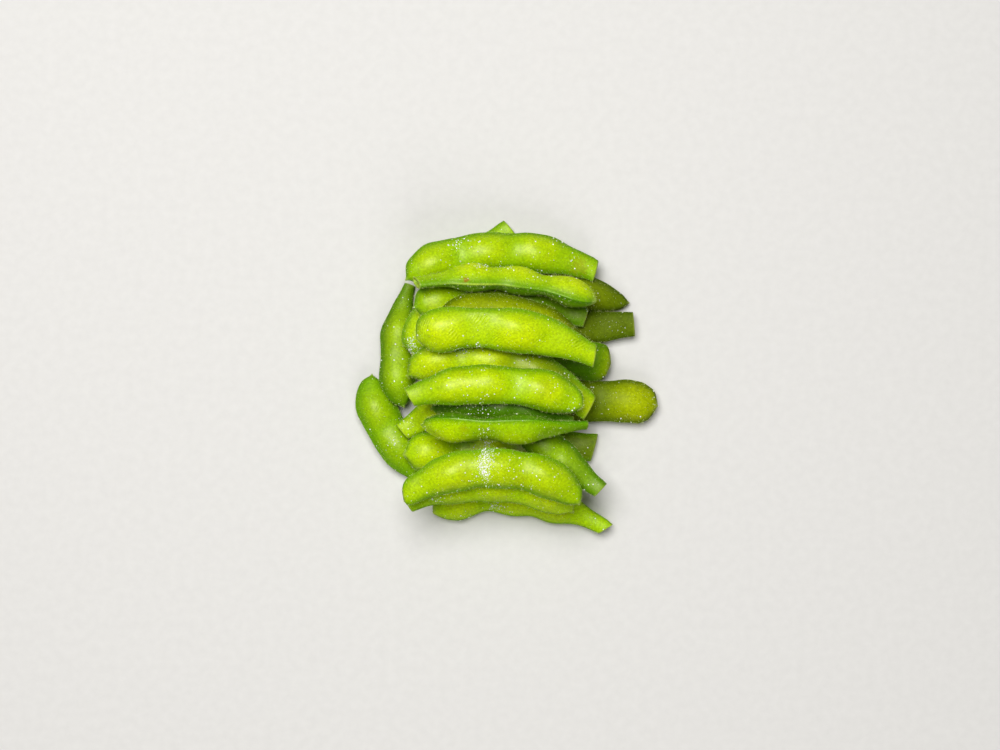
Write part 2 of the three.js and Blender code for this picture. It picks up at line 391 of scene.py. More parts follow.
@dataclass(frozen=True)
class PlainFinish:
    """A finish of one substance, with a fine grain in its colour and its surface."""

    name: str
    colour: str
    shade: str  # the darker colour of its grain
    grain: float  # mm
    roughness: float
    relief: float  # depth of the grain, in mm
    ior: float = 1.45
    subsurface: float = 0.0

    def material(self) -> bpy.types.Material:
        """Builds the finish's material.

        Returns:
            The material.
        """
        made = bpy.data.materials.new(self.name)
        made.use_nodes = True
        tree = made.node_tree
        place = wire(tree, "ShaderNodeTexCoord").outputs["Object"]
        inputs = {"Vector": place, "Scale": 1 / (self.grain * MM), "Detail": 3}
        grain = wire(tree, "ShaderNodeTexNoise", inputs)
        low, high = NOISE_RANGE
        share = wire(tree, "ShaderNodeMapRange", {"Value": grain, 1: low, 2: high})
        colours = {0: share, 6: linear(self.shade), 7: linear(self.colour)}
        bump = {"Height": grain, "Strength": 1.0, "Distance": self.relief * MM}
        feed(tree.nodes["Principled BSDF"], {
            "Base Color": wire(tree, "ShaderNodeMix", colours, data_type="RGBA"),
            "Normal": wire(tree, "ShaderNodeBump", bump),
            "Roughness": self.roughness,
            "IOR": self.ior,
            "Subsurface Weight": self.subsurface,
            "Subsurface Scale": MM,
        })
        return made


class Skin(Enum):
    """The three skins of the heap: young and bright, full green, and olive."""

    BRIGHT = SkinFinish(
        "boiled pod skin, bright", "skin_bright",
        bean="#CBE402", flat="#A8D402", side="#629A04", edge="#C9E04A",
    )
    DEEP = SkinFinish(
        "boiled pod skin, deep green", "skin_deep",
        bean="#A4D402", flat="#7BB002", side="#4A7E03", edge="#A6CC3C",
    )
    OLIVE = SkinFinish(
        "boiled pod skin, olive", "skin_olive",
        bean="#8CA203", flat="#5F7A03", side="#4A6203", edge="#8CA033", rough=0.48, shine=0.16,
    )


# The inside of a pod's wall where it was cut: paler and wetter than the skin, and a little fibrous.
FLESH = PlainFinish("cut pod flesh, moist", "#BCD44C", "#8DB41E", 0.5, 0.4, 0.06, subsurface=0.2)
# Clear crystals that look white because each breaks the light up. Their flat faces glint.
SALT = PlainFinish("coarse salt, crystalline", "#FFFFFF", "#F1F1EC", 0.3, 0.2, 0.02, ior=1.54)
# Straw-coloured hairs, pale against the green and without gloss.
DOWN = PlainFinish("pod down, pale hairs", "#F0F4B4", "#D4E070", 0.6, 0.55, 0.01)
# Smooth board with one matt coat: no gloss, only a trace of the roller.
FLOOR = PlainFinish("studio floor, matt painted board", "#DEDCD8", "#DAD8D4", 3.0, 0.85, 0.01)


# ---- pods


@dataclass(frozen=True)
class Spot:
    """A blemish in the skin: a share of the way from cut to tip, degrees round, and radius in mm."""

    along: float
    round: float
    radius: float
    strength: float
    core: float = 0.3  # share of the radius inside which it is strongest
    ragged: float = 0.35  # how uneven its outline is, as a share of the radius
    ragged_size: float = 1.2  # mm


@dataclass(frozen=True)
class SkinMap:
    """Where each point of a pod's skin lies, in rows from the cut to the tip. Lengths are in mm."""

    along: np.ndarray  # from the cut
    length: float  # of the pod
    girth: np.ndarray  # round from the bowed-out seam, always the same way
    half: np.ndarray  # the girth as far as the other seam
    whole: np.ndarray  # the girth all round

    @classmethod
    def over(cls, grid: np.ndarray) -> "SkinMap":
        """Measures rows of points.

        Args:
            grid: the rows, from the cut to the tip, each from the bowed-out seam round.

        Returns:
            Where each point lies.
        """
        columns = grid.shape[1]
        step = np.linalg.norm(np.roll(grid, -1, axis=1) - grid, axis=2)
        girth = np.cumsum(step, axis=1) - step
        along = run(grid)
        return cls(
            along=np.repeat(along[:, None], columns, axis=1),
            length=along[-1],
            girth=girth,
            half=girth[:, columns // 2, None],
            whole=step.sum(1, keepdims=True),
        )

    @property
    def share(self) -> np.ndarray:
        """How far each point is from the cut to the tip, from 0 to 1."""
        return self.along / self.length

    @property
    def from_back(self) -> np.ndarray:
        """How far each point is round from the bowed-out seam, the shorter way."""
        return np.minimum(self.girth, self.whole - self.girth)

    @property
    def from_seam(self) -> np.ndarray:
        """How far each point is round from the nearer seam."""
        return np.minimum(self.from_back, np.abs(self.girth - self.half))


@dataclass
class Pod:
    """One pod: a finer skin drawn over its solid, with its seams, wrinkles and hollow cut end.

    Lengths are in mm. The paints go evenly from the cut end to the tip, and each is a share from 0 to 1.
    """

    node: str
    skin: Skin
    seed: int
    warm: tuple[float, ...] = (0.1,)  # how far its colour goes to yellow
    dull: tuple[float, ...] = (0.0,)  # and to dull olive
    green: tuple[float, ...] = (0.0,)  # and to its deeper green
    pale: tuple[float, ...] = (0.12,)  # how far its seams go to their pale colour
    shade: tuple[float, float] = (0.0, 0.0)  # how strongly painted shade darkens each of its two faces
    matt: float = 0.0  # added to the roughness of its skin
    creased: float = 0.25  # how strong the fine oblique wrinkles are
    nip: float = 0.0  # length over which the cut end is drawn in
    nipped: float = 0.45  # size of the drawn-in cut end, as a share of its full size
    rim: float = 2.4  # how far the deeper green beside the seams reaches: partly the skin's own, partly painted shade at the pod's edges
    rim_strength: float = 0.85
    beak: float = 0.6  # how much of the solid's beak is left
    spots: tuple[Spot, ...] = ()
    steps: int = 6  # rows drawn for each ring of the solid
    columns: int = 84
    crowding: float = 0.4  # of the columns towards the seams
    thickness: float = 0.08  # of the skin over the solid
    seam_height: float = 0.2
    seam_width: float = 0.42
    groove_depth: float = 0.06
    groove_place: float = 3.0  # from the seam, in widths of the seam
    dent_size: float = 8.0
    dent_depth: float = 0.14
    wrinkle_size: float = 1.7
    wrinkle_depth: float = 0.05
    slant: float = 50.0  # degrees between the wrinkles and the pod's length
    waver: float = 2.2  # how far the wrinkles stray, in radians of their waves
    waver_size: float = 6.0
    faint_size: float = 9.0  # of the patches where the wrinkles fade
    faint_range: tuple[float, float] = (-0.3, 1.3)  # of their ripple, over which the wrinkles rise
    crease_size: float = 7.0  # of the patches where the fine wrinkles show
    crease_range: tuple[float, float] = (0.0, 1.4)
    plain_cut: float = 2.5  # length from the cut over which the relief rises
    plain_tip: float = 3.5  # and from the tip
    flat_to_plump: tuple[float, float] = (5.2, 9.4)  # thickness between two beans, and over one
    plump_power: float = 1.4  # the higher, the less the beans' colour reaches towards the seams
    seam_line: float = 0.3  # how far the seams' own colour reaches
    dry_cut: float = 0.5  # how far the dry colour reaches from the cut
    dry_tip: float = 1.6  # and from the tip
    dryness: float = 0.4  # how strong it is
    down: tuple[float, float] = (0.45, 1.5)  # how thick on the faces, and how much more on the seams
    down_reach: float = 1.0  # from the seams
    down_from: tuple[float, float] = (0.8, 1.6)  # heights over which it starts, clear of the floor
    wall: float = 0.8  # of the cut end
    hollow: float = 5.0  # depth of the opening in the cut end
    piece: Thing | None = field(default=None, init=False)

    def solid_rings(self) -> tuple[np.ndarray, np.ndarray]:
        """Reads the rings of the pod's solid.

        Returns:
            The rings from the cut end to the tip, each of SIDES points from the bowed-out seam round,
            and the tip itself, all in mm.
        """
        shape = bmesh.new()
        shape.from_mesh(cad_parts[self.node].data)
        bmesh.ops.remove_doubles(shape, verts=shape.verts, dist=WELD)
        poles = [vertex for vertex in shape.verts if len(vertex.link_edges) == SIDES]

        def near(vertex: bmesh.types.BMVert) -> list[bmesh.types.BMVert]:
            """The points that share an edge with this one."""
            return [edge.other_vert(vertex) for edge in vertex.link_edges]

        cut, tip = sorted(poles, key=lambda pole: -sum((pole.co - other.co).length for other in near(pole)))
        ring = [near(cut)[0]]
        while len(ring) < SIDES:
            ahead = [vertex for vertex in near(ring[-1]) if vertex in near(cut) and vertex not in ring]
            ring.append(ahead[0])
        inwards = next(v for v in near(ring[0]) if v is not cut and v not in ring).co - cut.co
        if sum(((a.co - cut.co).cross(b.co - cut.co)).dot(inwards) for a, b in zip(ring, ring[1:])) < 0:
            ring.reverse()
        rings = [ring]
        seen = {cut, *ring}
        while tip not in near(rings[-1][0]):
            last = rings[-1]
            ahead = [{other for other in near(vertex) if other not in seen} for vertex in last]
            rings.append([(ahead[side] & ahead[(side + 1) % SIDES]).pop() for side in range(SIDES)])
            seen.update(rings[-1])
        points = np.array([[vertex.co[:] for vertex in ring] for ring in rings]) / MM
        end = np.array(tip.co[:]) / MM
        shape.free()
        return self._from_seam(points), end

    @staticmethod
    def _from_seam(points: np.ndarray) -> np.ndarray:
        """Turns the numbering of the rings, so that they start at the seam on the bowed-out side.

        Args:
            points: the rings, numbered from any of their sides.

        Returns:
            The rings, numbered from that seam.
        """
        widths = [
            np.linalg.norm(points[:, side] - points[:, side + HALF], axis=1).sum() for side in range(HALF)
        ]
        seam = int(np.argmax(widths))
        lengths = [
            np.linalg.norm(np.diff(points[:, side], axis=0), axis=1).sum() for side in (seam, seam + HALF)
        ]
        return np.roll(points, -(seam if lengths[0] >= lengths[1] else seam + HALF), axis=1)

    def drawn(self) -> np.ndarray:
        """Draws the smooth skin through the solid's rings.

        Returns:
            Rows of points from the cut's edge to the tip, in mm. The last row is all at the tip.
        """
        rings, tip = self.solid_rings()
        tip = rings[-1].mean(0) + (tip - rings[-1].mean(0)) * self.beak
        count = len(rings)
        around = [
            np.vstack([rings[:, side], tip, rings[::-1, side + HALF]]) for side in range(HALF)
        ]
        weights = spline(np.linspace(0, 2 * count, 2 * count * self.steps + 1), 2 * count + 1, closed=False)
        lines = np.einsum("ts,nsx->tnx", weights, np.array(around))
        there, back = lines[:count * self.steps + 1], lines[:count * self.steps - 1:-1]
        sides = np.concatenate([there, back], axis=1)
        turn = np.arange(self.columns) / self.columns
        turn = turn - self.crowding * np.sin(4 * math.pi * turn) / (4 * math.pi)
        grid = np.einsum("cs,rsx->rcx", spline(turn * SIDES, SIDES, closed=True), sides)
        if self.nip:
            centre = grid.mean(1)[:, None]
            left = 1 - np.clip(run(grid) / self.nip, 0, 1)
            size = self.nipped + (1 - self.nipped) * np.sqrt(1 - left**2)
            grid = centre + (grid - centre) * size[:, None, None]
        return grid

    def build(self) -> Thing:
        """Builds the pod's piece, in place of its solid.

        Returns:
            The piece, riding with the heap.
        """
        grid = self.drawn()
        lay = SkinMap.over(grid)
        self.piece = self._mesh(grid, self._raised(grid, lay), self._looks(grid, lay), lay)
        return self.piece

    def _raised(self, grid: np.ndarray, lay: SkinMap) -> np.ndarray:
        """Raises the skin over the solid, with its seams, the grooves beside them, dents and wrinkles.

        Args:
            grid: the smooth skin.
            lay: where each of its points lies.

        Returns:
            The raised points.
        """
        ends = smooth(0, self.plain_cut, lay.along) * smooth(0, self.plain_tip, lay.length - lay.along)
        ridge = self.seam_height * fading(lay.from_seam, self.seam_width)
        from_groove = lay.from_seam - self.groove_place * self.seam_width
        groove = self.groove_depth * fading(from_groove, self.seam_width)
        dents = self.dent_depth * ripple(grid, self.dent_size, self.seed)
        slant = math.radians(self.slant)
        phase = (lay.along * math.sin(slant) + lay.from_back * math.cos(slant)) / self.wrinkle_size
        phase = math.tau * phase + self.waver * ripple(grid, self.waver_size, self.seed + WAVER)
        faint = smooth(*self.faint_range, ripple(grid, self.faint_size, self.seed + FAINT))
        wrinkles = self.wrinkle_depth * (0.5 + 0.5 * np.cos(phase)) ** 2 * faint
        rise = self.thickness + (ridge - groove) * ends + dents * ends + wrinkles * ends
        raised = grid + surface_normals(grid) * rise[:, :, None]
        raised[-1] = grid[-1]
        return raised

    def _looks(self, grid: np.ndarray, lay: SkinMap) -> dict[str, np.ndarray]:
        """Works out the values that the skin's finish and its down read.

        Args:
            grid: the smooth skin.
            lay: where each of its points lies.

        Returns:
            The values at each point, by the name that the finish reads.
        """
        share = lay.share
        quarter = self.columns // 4
        plump = np.linalg.norm(grid[:, quarter] - grid[:, 3 * quarter], axis=1)[:, None]
        across = np.sin(math.pi * np.clip(lay.from_seam / np.maximum(lay.whole / 4, TINY), 0, 1) / 2)
        dry_cut = 1 - smooth(0, self.dry_cut, lay.along)
        dry_tip = 1 - smooth(0, self.dry_tip, lay.length - lay.along)
        creases = smooth(*self.crease_range, ripple(grid, self.crease_size, self.seed + CREASE))
        down = self.down[0] + self.down[1] * fading(lay.from_seam, self.down_reach)
        return {
            "bean": smooth(*self.flat_to_plump, plump) * across**self.plump_power,
            # Deeper green beside the seams, partly the skin's own and partly painted shade at the pod's
            # edges.
            "side": fading(lay.from_seam, self.rim) * self.rim_strength,
            # Painted shade over one whole face, where it lies in another pod's shadow or turns from the
            # light.
            "shade": np.where(lay.girth < lay.half, *self.shade),
            "green": painted(share, self.green),
            "edge": fading(lay.from_seam, self.seam_line) * painted(share, self.pale),
            "warm": painted(share, self.warm),
            "dull": painted(share, self.dull),
            "dry": self.dryness * np.maximum(dry_cut, dry_tip),
            "creased": self.creased * creases,
            "spot": self._flecks(grid, lay),
            "matt": np.full_like(share, self.matt),
            "down": down * smooth(*self.down_from, grid[:, :, 2]),
        }

    def _flecks(self, grid: np.ndarray, lay: SkinMap) -> np.ndarray:
        """Draws the skin's blemishes, with ragged edges.

        Args:
            grid: the smooth skin.
            lay: where each of its points lies.

        Returns:
            How far each point goes to the blemishes' colour.
        """
        flecks = np.zeros_like(lay.along)
        turn = np.arange(self.columns) / self.columns * 360
        for spot in self.spots:
            turned = (turn - spot.round + 180) % 360 - 180
            way = np.hypot((lay.share - spot.along) * lay.length, turned / 360 * lay.whole)
            way += spot.ragged * spot.radius * ripple(grid, spot.ragged_size, self.seed + RAGGED)
            here = spot.strength * (1 - smooth(spot.core * spot.radius, spot.radius, way))
            flecks = np.maximum(flecks, here)
        return flecks

    def _opening(self, edge: np.ndarray, centre: np.ndarray, inwards: np.ndarray) -> np.ndarray:
        """Rows of points for the hollow cut end, from deep inside out to the cut's edge.

        Args:
            edge: the outer edge of the cut.
            centre: its middle.
            inwards: the way into the pod.

        Returns:
            The rows, without the deepest point and without the edge itself.
        """
        reach = np.linalg.norm(edge - centre, axis=1, keepdims=True)
        inner = centre + (edge - centre) * (reach - self.wall) / reach
        rows = [
            centre + (inner - centre) * size + inwards * depth * self.hollow for depth, size in HOLLOW_ROWS
        ]
        rows += [inner + (edge - inner) * out + inwards * depth for out, depth in LIP_ROWS]
        return np.array(rows)

    def _faces(self, rows: int) -> list[list[int]]:
        """The faces between rows of points, and the fans that close the first and the last row.

        Args:
            rows: how many rows there are. After their points come the middles of the two fans.

        Returns:
            The faces, with the first row's fan last but one and the last row's fan last.
        """
        columns = self.columns
        row, column = np.meshgrid(np.arange(rows - 1), np.arange(columns), indexing="ij")
        after = (column + 1) % columns
        quads = np.stack([
            row * columns + column, row * columns + after,
            (row + 1) * columns + after, (row + 1) * columns + column,
        ], axis=-1).reshape(-1, 4).tolist()
        deepest, tip, last = rows * columns, rows * columns + 1, (rows - 1) * columns
        floor_fan = [[deepest, (side + 1) % columns, side] for side in range(columns)]
        tip_fan = [[tip, last + side, last + (side + 1) % columns] for side in range(columns)]
        return quads + floor_fan + tip_fan

    def _mesh(
        self, grid: np.ndarray, raised: np.ndarray, looks: dict[str, np.ndarray], lay: SkinMap
    ) -> Thing:
        """Makes the pod's mesh from its rows of points.

        Args:
            grid: the smooth skin.
            raised: the same with its relief.
            looks: the values that its finish reads, for each point of the skin.
            lay: where each point lies.

        Returns:
            The piece, in place of the pod's solid.
        """
        centre = grid[0].mean(0)
        inwards = grid[self.steps].mean(0) - centre
        inwards /= np.linalg.norm(inwards)
        opening = self._opening(raised[0], centre, inwards)
        deepest = centre + inwards * DEEPEST * self.hollow
        points = np.concatenate([
            opening.reshape(-1, 3), raised[:-1].reshape(-1, 3), [deepest, grid[-1, 0]],
        ])
        points[:, 2] = np.maximum(points[:, 2], 0)
        mesh = bpy.data.meshes.new(f"{self.node}_skin")
        mesh.from_pydata((points * MM).tolist(), [], self._faces(len(opening) + len(raised) - 1))
        mesh.shade_smooth()

        inside = len(opening) * self.columns
        flesh = np.zeros(len(mesh.polygons), dtype=np.int32)
        flesh[:inside] = 1
        flesh[-2 * self.columns:-self.columns] = 1
        mesh.materials.append(SKINS[self.skin])
        mesh.materials.append(CUT_FLESH)
        mesh.polygons.foreach_set("material_index", flesh)
        self._write(mesh, inside, looks, lay)
        piece = added(mesh.name, mesh)
        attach(piece, BODY)
        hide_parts(self.node)
        return piece

    @staticmethod
    def _write(mesh: bpy.types.Mesh, inside: int, looks: dict[str, np.ndarray], lay: SkinMap) -> None:
        """Writes what the finishes read into a pod's mesh: the looks, and a flat map of the skin in metres.

        Args:
            mesh: the pod's mesh.
            inside: how many of its points are in the opening. The skin's follow them.
            looks: the values for each point of the skin.
            lay: where each point lies.
        """
        for name, values in looks.items():
            mark(mesh, name, np.concatenate([np.zeros(inside), values[:-1].ravel(), [0, values[-1, 0]]]))
        flat = np.zeros((len(mesh.vertices), 2))
        flat[inside:-2, 0] = lay.along[:-1].ravel() * MM
        flat[inside:-2, 1] = lay.from_back[:-1].ravel() * MM
        flat[-1] = lay.length * MM, 0
        corners = np.zeros(len(mesh.loops), dtype=np.int32)
        mesh.loops.foreach_get("vertex_index", corners)
        mesh.uv_layers.new(name="skin").data.foreach_set("uv", flat[corners].astype(np.float32).ravel())


def run(grid: np.ndarray) -> np.ndarray:
    """How far each row of points is from the first one, along the middles of the rows."""
    centre = grid.mean(1)
    return np.concatenate([[0], np.cumsum(np.linalg.norm(np.diff(centre, axis=0), axis=1))])


def surface_normals(grid: np.ndarray) -> np.ndarray:
    """Works out the outward normals of a skin.

    Args:
        grid: rows of points that go round the pod.

    Returns:
        A unit normal for each point.
    """
    lengthways = np.gradient(grid, axis=0)
    crossways = np.roll(grid, -1, axis=1) - np.roll(grid, 1, axis=1)
    normals = np.cross(crossways, lengthways)
    return normals / np.maximum(np.linalg.norm(normals, axis=2, keepdims=True), TINY)


# ---- salt and down


@dataclass(frozen=True)
class Pinch:
    """A place where more salt fell: where in plan, how far it spread, and grains for each square cm."""

    x: float
    y: float
    wide: float
    deep: float
    grains: float


@dataclass
class Scatter:
    """What lies or grows on all the skins, made by one Geometry Nodes tree from a shape and a density."""

    name: str
    finish: PlainFinish
    share: str  # the attribute of the skins that holds the share of the density
    density: float  # for each square cm
    seed: int
    size: float  # of the largest, in mm
    least: float = 0.4  # the smallest, as a share of the largest
    rarity: float = 1.0  # the higher, the fewer large ones

    def tree(self) -> bpy.types.GeometryNodeTree:
        """Builds the tree.

        Returns:
            A tree that puts points on the skins and a shape on each, made real and given its material.
        """
        tree = bpy.data.node_groups.new(self.name, "GeometryNodeTree")
        sockets = {"Skins": "Geometry", "Density": "Float", "Size": "Float", "Seed": "Int"}
        for name, kind in sockets.items():
            tree.interface.new_socket(name, in_out="INPUT", socket_type=f"NodeSocket{kind}")
        tree.interface.new_socket("Geometry", in_out="OUTPUT", socket_type="NodeSocketGeometry")
        given = wire(tree, "NodeGroupInput").outputs
        share = wire(tree, "GeometryNodeInputNamedAttribute", {"Name": self.share}, data_type="FLOAT")
        density = wire(tree, "ShaderNodeMath", {0: share, 1: given["Density"]}, operation="MULTIPLY")
        points = wire(
            tree, "GeometryNodeDistributePointsOnFaces",
            {"Mesh": given["Skins"], "Density": density, "Seed": given["Seed"]},
        )
        kept = self._kept(tree, given["Skins"], points)
        shape, turned = self._shape(tree, given, points)
        chance = wire(tree, "FunctionNodeRandomValue", {"Seed": given["Seed"]}, data_type="FLOAT")
        small = wire(tree, "ShaderNodeMath", {0: chance, 1: self.rarity}, operation="POWER")
        sizes = wire(tree, "ShaderNodeMapRange", {"Value": small, 3: self.least, 4: 1.0})
        placed = wire(
            tree, "GeometryNodeInstanceOnPoints",
            {"Points": kept, "Instance": shape, "Rotation": turned, "Scale": sizes},
        )
        real = wire(tree, "GeometryNodeRealizeInstances", {"Geometry": placed})
        dress = {"Geometry": real, "Material": self.finish.material()}
        wire(tree, "NodeGroupOutput", {"Geometry": wire(tree, "GeometryNodeSetMaterial", dress)})
        return tree

    def _kept(self, tree: Tree, skins: Socket, points: Node) -> Node:
        """Which of the points stay: here all of them."""
        return points

    def _shape(self, tree: Tree, given: Any, points: Node) -> tuple[Node, Node]:
        """The shape that stands on each point, and how it is turned."""
        raise NotImplementedError

    def build(self, skins: Thing) -> Thing:
        """Lays the shapes over the skins.

        Args:
            skins: all the skins, joined.

        Returns:
            The piece, riding with the heap.
        """
        tree = self.tree()
        modifier = skins.modifiers.new(self.name, "NODES")
        modifier.node_group = tree
        wanted = {"Density": self.density / CM2, "Size": self.size * MM, "Seed": self.seed}
        for socket in tree.interface.items_tree:
            if socket.name in wanted:
                modifier[socket.identifier] = wanted[socket.name]
        graph = bpy.context.evaluated_depsgraph_get()
        mesh = bpy.data.meshes.new_from_object(skins.evaluated_get(graph), depsgraph=graph)
        mesh.name = self.name
        piece = added(self.name, mesh)
        skins.modifiers.remove(modifier)
        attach(piece, BODY)
        return piece


@dataclass
class Salt(Scatter):
    """Grains of salt, on whatever can be seen from straight above. Lengths are in mm."""

    lift: float = 0.4  # how far over the skin the look upwards starts
    sky: float = 100.0  # how far it goes

    def _kept(self, tree: Tree, skins: Socket, points: Node) -> Node:
        """Keeps the points with nothing above them.

        Args:
            tree: the Geometry Nodes tree.
            skins: the joined skins.
            points: the node that puts the points on them.

        Returns:
            The node that gives the points kept.
        """
        place = wire(tree, "GeometryNodeInputPosition")
        above = wire(tree, "ShaderNodeVectorMath", {0: place, 1: (0, 0, self.lift * MM)}, operation="ADD")
        clear = wire(
            tree, "GeometryNodeRaycast",
            {"Target Geometry": skins, "Source Position": above, "Ray Direction": (0, 0, 1),
             "Ray Length": self.sky * MM},
        )
        return wire(
            tree, "GeometryNodeDeleteGeometry", {"Geometry": points, "Selection": clear}, domain="POINT"
        )

    def _shape(self, tree: Tree, given: Any, points: Node) -> tuple[Node, Node]:
        """Makes a small cube, turned any way.

        Args:
            tree: the Geometry Nodes tree.
            given: the tree's own inputs.
            points: the node that puts the points on the skins. Not used here.

        Returns:
            The nodes that give the cube and its turn.
        """
        side = wire(tree, "ShaderNodeCombineXYZ", {axis: given["Size"] for axis in range(3)})
        turn = wire(tree, "FunctionNodeRandomValue", {1: (math.tau,) * 3}, data_type="FLOAT_VECTOR")
        return wire(tree, "GeometryNodeMeshCube", {"Size": side}), turn


@dataclass
class Down(Scatter):
    """Fine pale hairs that stand on the skin, thickest along the seams.

    Real ones are about 0.02 mm thick. These are drawn coarser, because that would not show.
    """

    lean: float = 0.6  # radians either way
    thick: float = 0.07  # radius at the root, as a share of the length

    def _shape(self, tree: Tree, given: Any, points: Node) -> tuple[Node, Node]:
        """Makes a thin spike that leans off the skin's normal.

        Args:
            tree: the Geometry Nodes tree.
            given: the tree's own inputs.
            points: the node that puts the points on the skins.

        Returns:
            The nodes that give the spike and its turn.
        """
        thick = wire(tree, "ShaderNodeMath", {0: given["Size"], 1: self.thick}, operation="MULTIPLY")
        hair = wire(
            tree, "GeometryNodeMeshCone",
            {"Vertices": 3, "Radius Top": 0.0, "Radius Bottom": thick, "Depth": given["Size"]},
        )
        limits = {0: (-self.lean, -self.lean, 0), 1: (self.lean, self.lean, math.tau)}
        lean = wire(tree, "FunctionNodeRandomValue", limits, data_type="FLOAT_VECTOR")
        turned = wire(
            tree, "FunctionNodeRotateRotation",
            {"Rotation": points.outputs["Rotation"], "Rotate By": lean}, rotation_space="LOCAL",
        )
        return hair, turned


def joined(pieces: list[Thing], pinches: tuple[Pinch, ...], sprinkle: float) -> Thing:
    """Joins copies of the skins into one object, and marks on it where salt lies.

    Args:
        pieces: the pods.
        pinches: where more salt fell.
        sprinkle: grains of salt everywhere else, for each square cm.

    Returns:
        The joined object, whose "salted" attribute holds the grains for each square cm.
    """
    whole = bmesh.new()
    for piece in pieces:
        whole.from_mesh(piece.data)
    mesh = bpy.data.meshes.new("all_skins")
    whole.to_mesh(mesh)
    whole.free()
    points = np.zeros(3 * len(mesh.vertices), dtype=np.float32)
    mesh.vertices.foreach_get("co", points)
    normals = np.zeros_like(points)
    mesh.vertices.foreach_get("normal", normals)
    x, y, _ = points.reshape(-1, 3).T / MM
    up = np.clip(normals.reshape(-1, 3)[:, 2], 0, 1)
    salted = np.full(len(x), sprinkle)
    for pinch in pinches:
        off = ((x - pinch.x) / pinch.wide) ** 2 + ((y - pinch.y) / pinch.deep) ** 2
        salted += pinch.grains * np.exp(-off)
    mark(mesh, "salted", salted * up)
    return added("all_skins", mesh)


# ---- studio


@dataclass(frozen=True)
class Softbox:
    """A square soft light that faces the heap. Lengths are in mm."""

    name: str
    place: tuple[float, float, float]
    size: float
    power: float  # W
    glints: bool  # whether it shows in the wet skins

    def hang(self) -> None:
        """Hangs the light at its place."""
        lamp = bpy.data.lights.new(self.name, "AREA")
        lamp.size = self.size * MM
        lamp.energy = self.power
        light = added(self.name, lamp)
        light.location = [length * MM for length in self.place]
        light.rotation_euler = (-light.location).to_track_quat("-Z", "Y").to_euler()
        light.visible_glossy = self.glints


@dataclass
class Studio:
    """The floor, the soft lights and the camera. Lengths are in mm."""

    key: Softbox = Softbox("key", (-160, 330, 1080), 650, 14.6, glints=True)
    fill: Softbox = Softbox("fill", (150, -800, 700), 600, 3.0, glints=False)
    sky: str = "#FFFFFF"
    sky_strength: float = 0.04
    view: tuple[float, float, float] = (-3.03, 0.6, 812.0)  # the camera's place
    nearest: float = 10.0  # that the camera sees
    lens: float = 85.0
    floor_size: float = 6000.0
    floor_drop: float = 0.05  # under the lowest pods

    def floor(self) -> None:
        """Lays the pale floor just under the heap."""
        shape = bmesh.new()
        bmesh.ops.create_grid(shape, x_segments=1, y_segments=1, size=self.floor_size / 2 * MM)
        bmesh.ops.translate(shape, verts=shape.verts, vec=(0, 0, -self.floor_drop * MM))
        mesh = bpy.data.meshes.new("studio_floor")
        shape.to_mesh(mesh)
        shape.free()
        mesh.materials.append(FLOOR.material())
        floor = added("studio_floor", mesh)
        floor.visible_glossy = False

    def surroundings(self) -> None:
        """Sets the even light that comes from all round."""
        world = bpy.data.worlds.new("studio")
        world.use_nodes = True
        light = {"Color": linear(self.sky), "Strength": self.sky_strength}
        feed(world.node_tree.nodes["Background"], light)
        bpy.context.scene.world = world
        world.cycles_visibility.glossy = False

    def camera(self) -> None:
        """Sets the camera over the heap, looking straight down."""
        data = bpy.data.cameras.new("camera")
        data.lens = self.lens
        data.clip_start = self.nearest * MM
        camera = added("camera", data)
        camera.location = [length * MM for length in self.view]
        bpy.context.scene.camera = camera

    def build(self) -> None:
        """Sets up the whole studio."""
        self.floor()
        self.key.hang()
        self.fill.hang()
        self.surroundings()
        self.camera()
        bpy.context.scene.view_settings.view_transform = "Standard"


# ---- the heap

SKINS = {skin: skin.value.material() for skin in Skin}
CUT_FLESH = FLESH.material()

